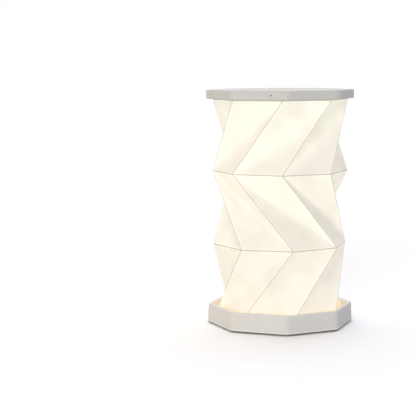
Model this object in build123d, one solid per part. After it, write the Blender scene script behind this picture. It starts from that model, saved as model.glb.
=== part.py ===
from build123d import *
from math import cos, radians, sin
import os

# A cordless table lamp that folds flat. An octagonal lid holds the light, the battery and
# the button. Under it hangs a tube of paper, folded in three twisted tiers. The paper
# stands in an octagonal tray, and folds down into it when the lid is pressed and turned.
#
# Sizes are in millimetres. +Z is up. The origin is on the table, under the middle of the
# lamp. One corner of each octagon points along -Y, which is the front.

# ---- The octagons ----
SIDES = 8
SECTOR = 360 / SIDES
FLAT_OVER_CORNER = cos(radians(SECTOR / 2))   # middle of a flat over a corner's radius

base_width = 123.8            # across the tray's flats, at the rim
base_flare = 0.6              # the tray's wall leans out by this from the rim to the foot
base_corner_radius = 9.0
lid_overhang = 1.1            # the lid stands out past the rim by this, all round
lid_corner_radius = 8.5

# ---- Base: feet, bottom cover, weight plate and tray, from the table up ----
foot_height = 0.8
foot_diameter = 7.0
foot_inset = 13.0             # foot centre in from the tray's corner radius
bottom_cover_thickness = 0.8
weight_plate_thickness = 1.2
tray_skin = 1.2               # tray floor over the weight plate
tray_depth = 14.2             # rim top above the tray floor
rim_wall = 3.8
rim_edge_radius = 0.8
base_bottom_chamfer = 1.0
recess_border = 1.7           # tray wall left outside the weight plate's recess, past the rim wall
plate_fit = 0.2               # gap round the weight plate and the bottom cover

# ---- Paper ----
paper_thickness = 0.6         # measured towards the axis; about 0.4 square to a facet
paper_to_rim = 0.8            # crease corner to the tray's inner corner
lower_tier_height = 69.1
middle_tier_height = 66.9
upper_tier_height = 65.1
lower_twist = 51.7            # degrees that a mountain fold turns over its tier
middle_twist = 54.5
upper_twist = 47.8            # lower - middle + upper = one sector, so the lid's corners line up
frame_thickness = 0.8         # card ring that the paper is glued to, top and bottom
frame_band = 7.0              # its width at a corner
seat_gap = 0.3                # glue line between paper and frame, and other seats

# ---- Lid ----
lid_skin = 1.8
lid_wall = 4.0
lid_edge_radius = 1.1
lid_lower_edge = 0.4
cover_recess = 0.4            # underside cover sits this far up inside the lid's edge
cover_thickness = 1.2
cover_fit = 0.2
below_board = 0.6
board_thickness = 1.0
above_board = 3.1
closing_gap = 0.3             # lid edge to rim when folded flat

# ---- Button in the lid ----
button_diameter = 24.7
button_gap = 0.25             # radial
button_sink = 0.1             # its face lies this far below the lid's
button_edge_chamfer = 0.3
button_travel = 0.35
button_ring_width = 2.0
button_ring_height = 1.9
button_ring_chamfer = 0.9
ring_fit = 0.05
flange_lip = 1.0
flange_thickness = 0.6
switch_size = 5.2
switch_free_gap = 0.1         # left between button and switch when pressed
switch_nub_diameter = 2.4
switch_nub_height = 0.2

# ---- Electronics, laid out square to the flats of the lid ----
electronics_turn = -SECTOR / 2
board_width = 34.0
board_front_margin = 6.6      # board end to the lid's inner wall, at the charge light
board_rear_margin = 1.2
socket_width = 8.94
socket_height = 3.2
socket_depth = 7.4
socket_wall = 0.4
socket_set_back = 0.2
socket_fit = 0.1
pipe_diameter = 1.2
pipe_fit = 0.05
pipe_side = 11.6              # off the middle of the front flat, towards the corner
pipe_above_board = 1.0
pipe_set_back = 0.15
charge_led_size = (1.6, 0.8, 1.3)
charge_led_gap = 0.1
battery_width = 26.0
battery_length = 50.0
battery_to_board = 3.0
battery_gap = 0.1
battery_edge_radius = 1.2
connector_size = (6.0, 2.5)
connector_side = 9.0
connector_fit = 0.3
chip_height = 1.1
charger_chip = (6.0, 6.0)     # width and length
control_chip = (5.0, 5.0)
charger_coil = (7.0, 7.0)
capacitor = (3.0, 5.0)
charger_place = (-9.0, 20.0)
control_place = (0.0, 40.0)
coil_place = (8.0, 22.0)
capacitor_places = ((9.0, -18.0), (-8.0, -22.0))
tab_width = 3.0               # nickel strips from the cells to the board
tab_thickness = 0.2
tab_on_board = 2.5            # length soldered to the board
tab_end_margin = 2.0          # strip's edge in from the cell's end

# ---- Light under the lid ----
diffuser_wall = 1.2
diffuser_to_paper = 0.7       # cup to the folded paper's inner edge
diffuser_floor_gap = 2.7      # cup to tray floor when folded flat
diffuser_edge_radius = 2.0
led_board_thickness = 1.2
led_board_inset = 3.0         # LED board's edge in from the cup's outside
led_size = 2.8
led_height = 0.7
led_count = 12
led_inset = 6.0

# ---- Fasteners and magnets ----
lid_screw_diameter = 2.0
lid_screw_head_diameter = 3.8
lid_screw_head_height = 1.3
lid_screw_bite = 3.6          # thread length above the cover
lid_boss_diameter = 5.0
lid_screw_edge_gap = 2.2      # screw head's rim in from the card ring's flat
board_screw_diameter = 1.6
board_screw_head_diameter = 3.0
board_screw_head_height = 0.45
board_screw_bite = 1.8
board_boss_diameter = 4.0
board_screw_x = 13.0
board_screw_y = (-32.0, 36.0)
screw_hole_fit = 0.1
magnet_length = 10.0
magnet_width = 2.0
magnet_height = 3.0
magnet_skin = 0.8             # plastic between a magnet and the meeting edges
magnet_inset = 1.6            # magnet centre in from the tray's flat

# ---- Worked out from the sizes above ----
lid_width = base_width + 2 * lid_overhang
tray_inner_width = base_width - 2 * rim_wall
tray_inner_corner = base_corner_radius - rim_wall
lid_inner_width = lid_width - 2 * lid_wall
lid_inner_corner = lid_corner_radius - lid_wall
recess_width = tray_inner_width - 2 * recess_border


def corner_reach(width, corner_radius):
    """Distance from the axis to the rounded corner of an octagon."""
    return width / 2 / FLAT_OVER_CORNER - corner_radius * (1 / FLAT_OVER_CORNER - 1)


crease_radius = corner_reach(tray_inner_width, tray_inner_corner) - paper_to_rim
folded_inner_radius = crease_radius * cos(radians(90 - SECTOR / 2))

base_bottom = foot_height
weight_plate_bottom = base_bottom + bottom_cover_thickness
weight_plate_top = weight_plate_bottom + weight_plate_thickness
tray_floor = weight_plate_top + tray_skin
rim_top = tray_floor + tray_depth
bottom_frame_top = tray_floor + frame_thickness

crease_0 = bottom_frame_top + seat_gap
crease_1 = crease_0 + lower_tier_height
crease_2 = crease_1 + middle_tier_height
crease_3 = crease_2 + upper_tier_height
turn_1 = lower_twist
turn_2 = turn_1 - middle_twist
turn_3 = turn_2 + upper_twist

top_frame_bottom = crease_3 + seat_gap
cover_bottom = top_frame_bottom + frame_thickness
cover_top = cover_bottom + cover_thickness
lid_bottom = cover_bottom - cover_recess
board_bottom = cover_top + below_board
board_top = board_bottom + board_thickness
lid_ceiling = board_top + above_board
lid_top = lid_ceiling + lid_skin
fold_travel = lid_bottom - (rim_top + closing_gap)

button_radius = button_diameter / 2
button_top = lid_top - button_sink
ring_inner_radius = button_radius + button_gap
ring_outer_radius = ring_inner_radius + button_ring_width
ring_bottom = lid_top - button_ring_height
flange_top = ring_bottom - seat_gap
flange_bottom = flange_top - flange_thickness
switch_top = flange_bottom - button_travel - switch_free_gap

diffuser_radius = folded_inner_radius - diffuser_to_paper
diffuser_top = cover_bottom - seat_gap
diffuser_bottom = lid_bottom - closing_gap - tray_depth + diffuser_floor_gap
led_board_radius = diffuser_radius - led_board_inset
led_board_bottom = cover_bottom - led_board_thickness

lid_inner_flat = lid_inner_width / 2
board_front = board_front_margin - lid_inner_flat
board_rear = lid_inner_flat - board_rear_margin
socket_middle = (cover_top + lid_ceiling) / 2
socket_mouth = lid_width / 2 - socket_set_back
frame_inner_flat = (crease_radius - frame_band) * FLAT_OVER_CORNER
lid_screw_reach = frame_inner_flat - lid_screw_edge_gap - lid_screw_head_diameter / 2
magnet_reach = base_width / 2 - magnet_inset
foot_reach = corner_reach(base_width, base_corner_radius) - foot_inset


# ---- Shapes that several pieces share ----
def octagon_slab(width, corner_radius, bottom, top):
    """Upright octagonal slab with rounded corners, a corner on each axis."""
    outline = RegularPolygon(width / 2, SIDES, major_radius=False)
    if corner_radius > 0:
        outline = fillet(outline.vertices(), corner_radius)
    return Pos(0, 0, bottom) * extrude(outline, top - bottom)


def flared_slab(width, corner_radius, bottom, top, flare):
    """Octagonal slab whose wall leans out by flare from top to bottom."""
    outlines = []
    for reach, height in ((width / 2 + flare, bottom), (width / 2, top)):
        outline = RegularPolygon(reach, SIDES, major_radius=False)
        outlines.append(Pos(0, 0, height) * fillet(outline.vertices(), corner_radius))
    return loft(outlines, ruled=True)


def round_slab(radius, bottom, top, x=0.0, y=0.0):
    """Upright disc or rod."""
    return Pos(x, y, bottom) * extrude(Circle(radius), top - bottom)


def block(x_range, y_range, z_range):
    """Box between two limits on each axis."""
    size = [span[1] - span[0] for span in (x_range, y_range, z_range)]
    middle = [(span[1] + span[0]) / 2 for span in (x_range, y_range, z_range)]
    return Pos(*middle) * Box(*size)


def top_edges(solid):
    return solid.edges().group_by(Axis.Z)[-1]


def bottom_edges(solid):
    return solid.edges().group_by(Axis.Z)[0]


def at_flat(shape, reach, number):
    """Carry a shape made at the origin to one of the flats, facing outwards."""
    return Rot(0, 0, SECTOR * (number + 0.5)) * Pos(reach, 0, 0) * shape


def in_lid(shape):
    """Turn a piece that is laid out square into line with the lid's flats."""
    return Rot(0, 0, electronics_turn) * shape


def screw(diameter, head_diameter, head_height, bite, face):
    """Screw driven upwards, with its head under the given face."""
    head = round_slab(head_diameter / 2, face - head_height, face)
    head = fillet(bottom_edges(head), head_height * 0.4)
    return head + round_slab(diameter / 2, face, face + bite)


def lid_screw_places():
    corner = lid_screw_reach * cos(radians(SECTOR))
    return [(x, y) for x in (-corner, corner) for y in (-corner, corner)]


def board_screw_places():
    return [(x, y) for x in (-board_screw_x, board_screw_x) for y in board_screw_y]


def magnet(bottom):
    half = magnet_length / 2
    return block((-magnet_width / 2, magnet_width / 2), (-half, half), (bottom, bottom + magnet_height))


def magnet_group(bottom, first_flat):
    """Bar magnets on every other flat."""
    flats = range(first_flat, SIDES, 2)
    return [at_flat(magnet(bottom), magnet_reach, flat) for flat in flats]


# ---- Base ----
base_magnet_bottom = rim_top - magnet_skin - magnet_height
lid_magnet_bottom = lid_bottom + magnet_skin
BASE_MAGNET_FLAT = 1
LID_MAGNET_FLAT = 0           # one flat behind, which the lid's turn makes up


def base_tray():
    """White tray: rim, floor and the recess for the weight plate."""
    body = flared_slab(base_width, base_corner_radius, base_bottom, rim_top, base_flare)
    body = chamfer(bottom_edges(body), base_bottom_chamfer)
    body -= octagon_slab(tray_inner_width, tray_inner_corner, tray_floor, rim_top)
    body = fillet(top_edges(body), rim_edge_radius)
    body -= octagon_slab(recess_width, tray_inner_corner, base_bottom, weight_plate_top)
    for pocket in magnet_group(base_magnet_bottom, BASE_MAGNET_FLAT):
        body -= pocket
    return body


def plate_in_recess(bottom, top):
    fitted_corner = tray_inner_corner - plate_fit
    return octagon_slab(recess_width - 2 * plate_fit, fitted_corner, bottom, top)


def weight_plate():
    return plate_in_recess(weight_plate_bottom, weight_plate_top)


def bottom_cover():
    return plate_in_recess(base_bottom, weight_plate_bottom)


def rubber_feet():
    feet = []
    for corner in range(SIDES):
        foot = round_slab(foot_diameter / 2, 0, foot_height, x=foot_reach)
        feet.append(Rot(0, 0, SECTOR * corner) * foot)
    return feet


# ---- Paper tube and its two card rings ----
def crease_ring(radius, turn, height):
    """Corners of one ring crease, turned from the tray's corners."""
    angles = [radians(turn + SECTOR * corner) for corner in range(SIDES)]
    return [(radius * cos(angle), radius * sin(angle), height) for angle in angles]


def tier_facets(low, high, leans_left):
    """Two triangles for each side of a tier, divided by a valley fold."""
    facets = []
    for corner in range(SIDES):
        following = (corner + 1) % SIDES
        if leans_left:
            facets.append((low[corner], low[following], high[following]))
            facets.append((low[corner], high[following], high[corner]))
        else:
            facets.append((low[corner], low[following], high[corner]))
            facets.append((low[following], high[following], high[corner]))
    return facets


def folded_block(radius):
    """Solid inside the paper's folds, for a given radius of the ring creases."""
    heights = (crease_0, crease_1, crease_2, crease_3)
    turns = (0, turn_1, turn_2, turn_3)
    rings = [crease_ring(radius, turn, height) for turn, height in zip(turns, heights)]
    outlines = [tuple(reversed(rings[0])), tuple(rings[-1])]
    for tier in range(len(rings) - 1):
        leans_left = turns[tier + 1] > turns[tier]
        outlines += tier_facets(rings[tier], rings[tier + 1], leans_left)
    faces = [Face(Wire.make_polygon(points)) for points in outlines]
    return Solid(Shell(faces))


def pleated_shade():
    """One tube of folded paper, open at both ends."""
    return folded_block(crease_radius) - folded_block(crease_radius - paper_thickness)


def card_ring(bottom):
    outer_width = 2 * crease_radius * FLAT_OVER_CORNER
    ring = octagon_slab(outer_width, 0, bottom, bottom + frame_thickness)
    return ring - octagon_slab(2 * frame_inner_flat, 0, bottom, bottom + frame_thickness)


def shade_bottom_frame():
    return card_ring(tray_floor)


def shade_top_frame():
    return card_ring(top_frame_bottom)


# ---- Lid ----
def charging_slot(grow, depth_start, depth_end):
    half_width = socket_width / 2 + grow
    half_height = socket_height / 2 + grow
    profile = RectangleRounded(2 * half_width, 2 * half_height, half_height - 0.01)
    body = extrude(profile, depth_end - depth_start)
    return Pos(0, depth_end, socket_middle) * Rot(90, 0, 0) * body


def light_rod(radius, start, end):
    rod = extrude(Circle(radius), end - start)
    return Pos(pipe_side, end, board_top + pipe_above_board) * Rot(90, 0, 0) * rod


def boss(place, diameter, bottom, hole_diameter, hole_top):
    x, y = place
    post = round_slab(diameter / 2, bottom, lid_ceiling, x, y)
    return post - round_slab(hole_diameter / 2, bottom, hole_top, x, y)


def lid_shell():
    """White lid: top, wall, and the posts that the board and the cover are screwed to."""
    body = octagon_slab(lid_width, lid_corner_radius, lid_bottom, lid_top)
    body = fillet(top_edges(body), lid_edge_radius)
    body = chamfer(bottom_edges(body), lid_lower_edge)
    body -= octagon_slab(lid_inner_width, lid_inner_corner, lid_bottom, lid_ceiling)
    body -= round_slab(ring_outer_radius + ring_fit, lid_ceiling, lid_top)
    for pocket in magnet_group(lid_magnet_bottom, LID_MAGNET_FLAT):
        body -= pocket
    wall_outside = lid_width / 2 + 1
    body -= in_lid(charging_slot(socket_fit, lid_inner_flat - 1, wall_outside))
    body -= in_lid(light_rod(pipe_diameter / 2 + pipe_fit, -wall_outside, 1 - lid_inner_flat))
    lid_hole = lid_screw_diameter + 2 * screw_hole_fit
    for place in lid_screw_places():
        hole_top = cover_bottom + lid_screw_bite + screw_hole_fit
        body += in_lid(boss(place, lid_boss_diameter, cover_top, lid_hole, hole_top))
    board_hole = board_screw_diameter + 2 * screw_hole_fit
    for place in board_screw_places():
        hole_top = board_bottom + board_screw_bite + screw_hole_fit
        body += in_lid(boss(place, board_boss_diameter, board_top, board_hole, hole_top))
    return body


def lid_cover():
    """White plate that closes the lid from below and reflects the light."""
    corner = lid_inner_corner - cover_fit
    plate = octagon_slab(lid_inner_width - 2 * cover_fit, corner, cover_bottom, cover_top)
    slot = connector(connector_fit, cover_bottom, cover_top)
    hole_radius = lid_screw_diameter / 2 + screw_hole_fit
    for x, y in lid_screw_places():
        slot += round_slab(hole_radius, cover_bottom, cover_top, x, y)
    return plate - in_lid(slot)


def lid_screws():
    sizes = (lid_screw_diameter, lid_screw_head_diameter, lid_screw_head_height, lid_screw_bite)
    shape = screw(*sizes, cover_bottom)
    return [in_lid(Pos(x, y, 0) * shape) for x, y in lid_screw_places()]


def lid_magnets():
    return magnet_group(lid_magnet_bottom, LID_MAGNET_FLAT)


def base_magnets():
    return magnet_group(base_magnet_bottom, BASE_MAGNET_FLAT)


# ---- Button ----
def button_ring():
    ring = round_slab(ring_outer_radius, ring_bottom, lid_top)
    ring -= round_slab(ring_inner_radius, ring_bottom, lid_top)
    inner_edge = top_edges(ring).sort_by(SortBy.LENGTH)[0]
    return chamfer(inner_edge, button_ring_chamfer)


def power_button():
    """Copper disc with a lip under the ring, so that it can't come out."""
    disc = round_slab(button_radius, flange_bottom, button_top)
    disc = chamfer(top_edges(disc), button_edge_chamfer)
    return disc + round_slab(button_radius + flange_lip, flange_bottom, flange_top)


def tactile_switch():
    half = switch_size / 2
    body_top = switch_top - switch_nub_height
    body = block((-half, half), (-half, half), (board_top, body_top))
    return in_lid(body + round_slab(switch_nub_diameter / 2, body_top, switch_top))


# ---- Electronics ----
def control_board():
    half = board_width / 2
    board = block((-half, half), (board_front, board_rear), (board_bottom, board_top))
    notch_half = socket_width / 2 + socket_fit
    notch_start = socket_mouth - socket_depth - socket_fit
    board -= block((-notch_half, notch_half), (notch_start, board_rear), (board_bottom, board_top))
    hole_radius = board_screw_diameter / 2 + screw_hole_fit
    for x, y in board_screw_places():
        board -= round_slab(hole_radius, board_bottom, board_top, x, y)
    return in_lid(board)


def board_chips():
    """Charger, controller, coil and two capacitors on top of the board."""
    laid_out = [(charger_place, charger_chip), (control_place, control_chip), (coil_place, charger_coil)]
    laid_out += [(place, capacitor) for place in capacitor_places]
    chips = []
    for (x, y), (width, length) in laid_out:
        spans = ((x - width / 2, x + width / 2), (y - length / 2, y + length / 2))
        chips.append(in_lid(block(*spans, (board_top, board_top + chip_height))))
    return chips


def board_screws():
    sizes = (board_screw_diameter, board_screw_head_diameter, board_screw_head_height)
    shape = screw(*sizes, board_screw_bite, board_bottom)
    return [in_lid(Pos(x, y, 0) * shape) for x, y in board_screw_places()]


def connector(grow, bottom, top):
    half_x = connector_size[0] / 2 + grow
    half_y = connector_size[1] / 2 + grow
    return block((-half_x, half_x), (connector_side - half_y, connector_side + half_y), (bottom, top))


def board_connector():
    """Pin strip from the control board down to the LED board."""
    return in_lid(connector(0, cover_bottom, board_bottom))


def charging_socket():
    """Rounded metal shell with its tongue, open outwards."""
    back = socket_mouth - socket_depth
    shell = charging_slot(0, back, socket_mouth)
    shell -= charging_slot(-socket_wall, back + socket_wall, socket_mouth)
    tongue_half = socket_width / 2 - 3 * socket_wall
    tongue = block(
        (-tongue_half, tongue_half),
        (back, socket_mouth - 2 * socket_wall),
        (socket_middle - socket_wall, socket_middle + socket_wall),
    )
    return in_lid(shell + tongue)


def charge_led():
    width, length, height = charge_led_size
    spans = ((pipe_side - width / 2, pipe_side + width / 2), (board_front, board_front + length))
    return in_lid(block(*spans, (board_top, board_top + height)))


def light_pipe():
    """Clear rod that carries the charge light through the lid's wall."""
    start = pipe_set_back - lid_width / 2
    return in_lid(light_rod(pipe_diameter / 2, start, board_front - charge_led_gap))


def battery(side):
    near = board_width / 2 + battery_to_board
    spans = sorted((side * near, side * (near + battery_width)))
    half_length = battery_length / 2
    heights = (cover_top + battery_gap, lid_ceiling - seat_gap)
    cell = block(spans, (-half_length, half_length), heights)
    return in_lid(fillet(cell.edges().filter_by(Axis.Y), battery_edge_radius))


def battery_tabs():
    """Two nickel strips on each cell, soldered to the board's top."""
    outer = board_width / 2 + battery_to_board
    inner = board_width / 2 - tab_on_board
    end = battery_length / 2 - tab_end_margin
    tabs = []
    for side in (-1, 1):
        across = sorted((side * inner, side * outer))
        for along in ((-end, tab_width - end), (end - tab_width, end)):
            tabs.append(in_lid(block(across, along, (board_top, board_top + tab_thickness))))
    return tabs


def battery_left():
    return battery(-1)


def battery_right():
    return battery(1)


# ---- Light ----
def led_board():
    return round_slab(led_board_radius, led_board_bottom, cover_bottom)


def led_chips():
    half = led_size / 2
    chip = block((-half, half), (-half, half), (led_board_bottom - led_height, led_board_bottom))
    reach = led_board_radius - led_inset
    turns = [360 / led_count * number for number in range(led_count)]
    return [Rot(0, 0, turn) * Pos(reach, 0, 0) * chip for turn in turns]


def light_diffuser():
    """Round opal cup over the LEDs."""
    cup = round_slab(diffuser_radius, diffuser_bottom, diffuser_top)
    cup = fillet(bottom_edges(cup), diffuser_edge_radius)
    inside_radius = diffuser_radius - diffuser_wall
    inside = round_slab(inside_radius, diffuser_bottom + diffuser_wall, diffuser_top)
    return cup - fillet(bottom_edges(inside), diffuser_edge_radius - diffuser_wall)


# ---- One STEP file for each piece or group of like pieces ----
PIECES = [
    base_tray, weight_plate, bottom_cover, rubber_feet, base_magnets,
    shade_bottom_frame, pleated_shade, shade_top_frame,
    lid_shell, lid_cover, lid_screws, lid_magnets,
    button_ring, power_button, tactile_switch,
    control_board, board_chips, board_screws, board_connector,
    charging_socket, charge_led, light_pipe, battery_left, battery_right, battery_tabs,
    led_board, led_chips, light_diffuser,
]


def export_all():
    os.makedirs("parts", exist_ok=True)
    for piece in PIECES:
        shape = piece()
        if isinstance(shape, list):
            shape = Compound(children=shape)
        export_step(shape, f"parts/{piece.__name__}.step")
    print(f"fold travel {fold_travel:.2f} mm, overall height {lid_top:.2f} mm")


export_all()
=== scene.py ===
import math

import bmesh
import bpy
from bpy.props import FloatProperty, FloatVectorProperty, IntProperty, PointerProperty
from mathutils import Matrix, Vector


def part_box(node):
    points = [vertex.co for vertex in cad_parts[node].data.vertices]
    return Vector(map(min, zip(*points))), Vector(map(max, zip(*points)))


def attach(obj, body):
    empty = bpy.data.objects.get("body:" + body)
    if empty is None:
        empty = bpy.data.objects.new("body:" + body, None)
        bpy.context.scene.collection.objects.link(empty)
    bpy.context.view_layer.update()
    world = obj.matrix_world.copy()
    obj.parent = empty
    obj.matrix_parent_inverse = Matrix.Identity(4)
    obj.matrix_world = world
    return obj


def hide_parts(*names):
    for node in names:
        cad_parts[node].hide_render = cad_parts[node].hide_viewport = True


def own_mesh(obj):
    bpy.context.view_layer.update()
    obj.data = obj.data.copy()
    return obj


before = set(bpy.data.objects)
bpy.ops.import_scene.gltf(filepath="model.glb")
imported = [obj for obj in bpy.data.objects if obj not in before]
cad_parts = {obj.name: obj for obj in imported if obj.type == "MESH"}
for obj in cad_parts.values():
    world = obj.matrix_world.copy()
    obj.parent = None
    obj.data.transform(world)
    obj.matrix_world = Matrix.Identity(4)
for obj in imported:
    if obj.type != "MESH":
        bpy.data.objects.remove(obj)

bl_info = {
    "name": "Folding paper table lamp",
    "version": (1, 0, 0),
    "blender": (4, 5, 0),
    "location": "3D View > Sidebar > Paper Lamp",
    "description": "Finishes a folding lamp of twisted paper: shade, lid, tray, button and inner parts",
    "category": "Object",
}

# The lamp stands open on the table at z = 0, with one corner of each octagon towards -Y.
# Lengths here are in metres and angles in radians, as Blender keeps them.
MM = 0.001
SIDES = 8
SECTOR = math.tau / SIDES
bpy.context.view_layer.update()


def paint(code):
    """Linear colour from a six-digit hexadecimal screen colour."""
    channels = [int(code[start:start + 2], 16) / 255 for start in (0, 2, 4)]
    return tuple(c / 12.92 if c <= 0.04045 else ((c + 0.055) / 1.055) ** 2.4 for c in channels)


# ---- Places read from the frame ----
RING_SLACK = 0.05 * MM        # how far short of the outermost corners a crease corner may lie
RING_STEP = 0.1 * MM          # corners nearer in height than this are on one ring
SAME_PLACE = 0.001 * MM       # corners nearer than this are one corner


def crease_rings(node):
    """(height, corner radius) of each ring crease of the folded tube, from the lowest up."""
    points = [v.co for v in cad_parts[node].data.vertices]
    reach = max(p.xy.length for p in points)
    rings = {}
    for p in points:
        if p.xy.length > reach - RING_SLACK:
            rings.setdefault(round(p.z / RING_STEP), p)
    return [(rings[key].z, rings[key].xy.length) for key in sorted(rings)]


def separate_solids(node):
    """(centre, lowest corner, highest corner) of each loose solid of a CAD node."""
    shape = bmesh.new()
    shape.from_mesh(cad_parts[node].data)
    bmesh.ops.remove_doubles(shape, verts=shape.verts, dist=SAME_PLACE)
    waiting = set(shape.verts)
    solids = []
    while waiting:
        group, edge = set(), [waiting.pop()]
        while edge:
            vertex = edge.pop()
            group.add(vertex)
            near = {e.other_vert(vertex) for e in vertex.link_edges} & waiting
            waiting -= near
            edge.extend(near)
        low = Vector([min(v.co[axis] for v in group) for axis in range(3)])
        high = Vector([max(v.co[axis] for v in group) for axis in range(3)])
        solids.append(((low + high) / 2, low, high))
    shape.free()
    return sorted(solids, key=lambda solid: (round(solid[0].x, 5), round(solid[0].y, 5)))


RINGS = crease_rings("pleated_shade")
PAPER_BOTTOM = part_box("shade_bottom_frame")[1].z
PAPER_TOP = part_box("shade_top_frame")[0].z
LIGHT_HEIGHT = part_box("led_chips")[0].z


# ---- Node trees: one short way to add nodes ----
class Graph:
    """Adds nodes to a tree. A value that is a socket is linked, any other is set.

    A colour is three linear channels or a six-digit screen colour.
    """

    def __init__(self, tree):
        self.tree = tree

    def add(self, kind, values=None, **settings):
        node = self.tree.nodes.new(kind)
        for name, value in settings.items():
            setattr(node, name, value)
        for key, value in (values or {}).items():
            self.put(node.inputs[key], value)
        return node

    def put(self, socket, value):
        if isinstance(value, bpy.types.NodeSocket):
            self.tree.links.new(value, socket)
        elif socket.type == "RGBA":
            socket.default_value = (*(paint(value) if isinstance(value, str) else value), 1.0)
        else:
            socket.default_value = value

    def math(self, operation, *values):
        return self.add("ShaderNodeMath", dict(enumerate(values)), operation=operation).outputs[0]

    def times(self, first, second):
        return self.math("MULTIPLY", first, second)

    def line(self, value, slope, start):
        """Value times a slope, on from a start."""
        return self.math("MULTIPLY_ADD", value, slope, start)

    def vector(self, operation, *values):
        node = self.add("ShaderNodeVectorMath", dict(enumerate(values)), operation=operation)
        single = operation in {"DOT_PRODUCT", "LENGTH", "DISTANCE"}
        return node.outputs["Value" if single else "Vector"]

    def scaled(self, vector, factor):
        node = self.add("ShaderNodeVectorMath", {0: vector, "Scale": factor}, operation="SCALE")
        return node.outputs["Vector"]

    def added(self, *vectors):
        total = vectors[0]
        for vector in vectors[1:]:
            total = self.vector("ADD", total, vector)
        return total

    def span(self, value, low, high, to_low=0.0, to_high=1.0):
        """Value carried smoothly from one span to another and held at its ends."""
        places = {"Value": value, "From Min": low, "From Max": high, "To Min": to_low, "To Max": to_high}
        node = self.add("ShaderNodeMapRange", places, interpolation_type="SMOOTHSTEP")
        return node.outputs["Result"]

    def weighed(self, first, share, second):
        """Sum of two values, the first by its share and the second by the rest."""
        return self.line(first, share, self.times(second, 1.0 - share))

    def part(self, vector, axis):
        """Part of a vector along X, Y or Z."""
        return self.add("ShaderNodeSeparateXYZ", {0: vector}).outputs[axis]

    def joined(self, x=0.0, y=0.0, z=0.0):
        """Vector of three parts."""
        return self.add("ShaderNodeCombineXYZ", {0: x, 1: y, 2: z}).outputs[0]

    def blend(self, factor, first, second):
        """Colour mixed from two colours."""
        node = self.add("ShaderNodeMix", data_type="RGBA")
        for index, value in ((0, factor), (6, first), (7, second)):
            self.put(node.inputs[index], value)
        return node.outputs[2]

    def mottle(self, value, first, second, low=0.3, high=0.7):
        """Colour between two, by where a value lies from low to high."""
        return self.blend(self.span(value, low, high), first, second)

    def noise(self, place, scale, detail=2.0, roughness=0.5):
        values = {"Vector": place, "Scale": scale, "Detail": detail, "Roughness": roughness}
        return self.add("ShaderNodeTexNoise", values).outputs["Fac"]


class Finish(Graph):
    """A new Principled material and its graph. Its place is the Object coordinates."""

    def __init__(self, name, colour, roughness, **sockets):
        self.material = bpy.data.materials.new(name)
        self.material.use_nodes = True
        super().__init__(self.material.node_tree)
        self.shader = self.tree.nodes["Principled BSDF"]
        self.place = self.add("ShaderNodeTexCoord").outputs["Object"]
        self.set(Base_Color=colour, Roughness=roughness, **sockets)

    def set(self, **sockets):
        """Set or link the shader's sockets, where an underscore stands for a space."""
        for socket, value in sockets.items():
            self.put(self.shader.inputs[socket.replace("_", " ")], value)

    def bump(self, height, depth, strength=0.6):
        """Bump from a height between 0 and 1, where depth is its real depth."""
        values = {"Strength": strength, "Distance": depth, "Height": height}
        self.set(Normal=self.add("ShaderNodeBump", values).outputs["Normal"])


# ---- Materials ----
PAINTED_EDGE_BLEND = 0.12             # change of slope over which an edge's painted shade or painted highlight fades in
PAINTED_HIGHLIGHT_BLEND = 0.4 * MM          # height over which the painted highlight over the foot fades out
CREASE_CORE = 0.4             # middle of a crease at full strength, as a share of its half width
CREASE_TINT = 0.75            # how far a pressed fold takes the creases' colour
CREASE_SHADE = 0.6            # share of the glow that a pressed fold holds back
RIDGE_PLACE = 1.7             # bright line beside a crease, in the crease's half widths from the fold
RIDGE_GLOW = 0.3              # how much more that line glows
FIBRE_STRETCH = 0.35          # scale of the paper's fibres up the tube, against round it
FIBRE_TINT = 0.12             # how far the fibres shift the paper's tone


def moulded(name, colour, shade, roughness, texture_scale=2600.0, edges=(), painted_foot_highlight=None):
    """Moulded plastic: spark-eroded fine texture, faint flow clouds and slight gloss patches.

    Each of its edges is (lowest slope, highest slope, colour): faces whose upward slope lies
    between the two are the rounded or chamfered edges, painted in another tone: darker for
    painted shade, lighter for a painted highlight. The foot highlight is (height, colour): the
    wall below that height is painted lighter, a painted highlight for light bounced from the floor.
    """
    finish = Finish(name, colour, roughness, IOR=1.46, Specular_IOR_Level=0.3)
    clouds = finish.noise(finish.place, 22.0, detail=3.0)
    tone = finish.mottle(clouds, colour, shade)
    # Painted highlight: the wall just over the foot is painted lighter, for light bounced from the
    # floor.
    if painted_foot_highlight:
        painted_highlight_height, painted_highlight_colour = painted_foot_highlight
        height = finish.part(finish.place, "Z")
        under = finish.span(height, painted_highlight_height, painted_highlight_height + PAINTED_HIGHLIGHT_BLEND, 1.0, 0.0)
        tone = finish.blend(under, tone, painted_highlight_colour)
    slope = finish.part(finish.add("ShaderNodeNewGeometry").outputs["Normal"], "Z")
    # Painted shade and painted highlights: faces of rounded and chamfered edges, picked by their slope,
    # are painted darker or lighter.
    for lowest, highest, painted_edge_colour in edges:
        above = finish.span(slope, lowest - PAINTED_EDGE_BLEND, lowest)
        below = finish.span(slope, highest, highest + PAINTED_EDGE_BLEND, 1.0, 0.0)
        tone = finish.blend(finish.times(above, below), tone, painted_edge_colour)
    fine = finish.noise(finish.place, texture_scale, detail=3.0, roughness=0.6)
    gloss = finish.line(fine, 0.16, roughness - 0.08)
    finish.set(Base_Color=tone, Roughness=gloss)
    finish.bump(fine, 0.03 * MM)
    return finish.material


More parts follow.
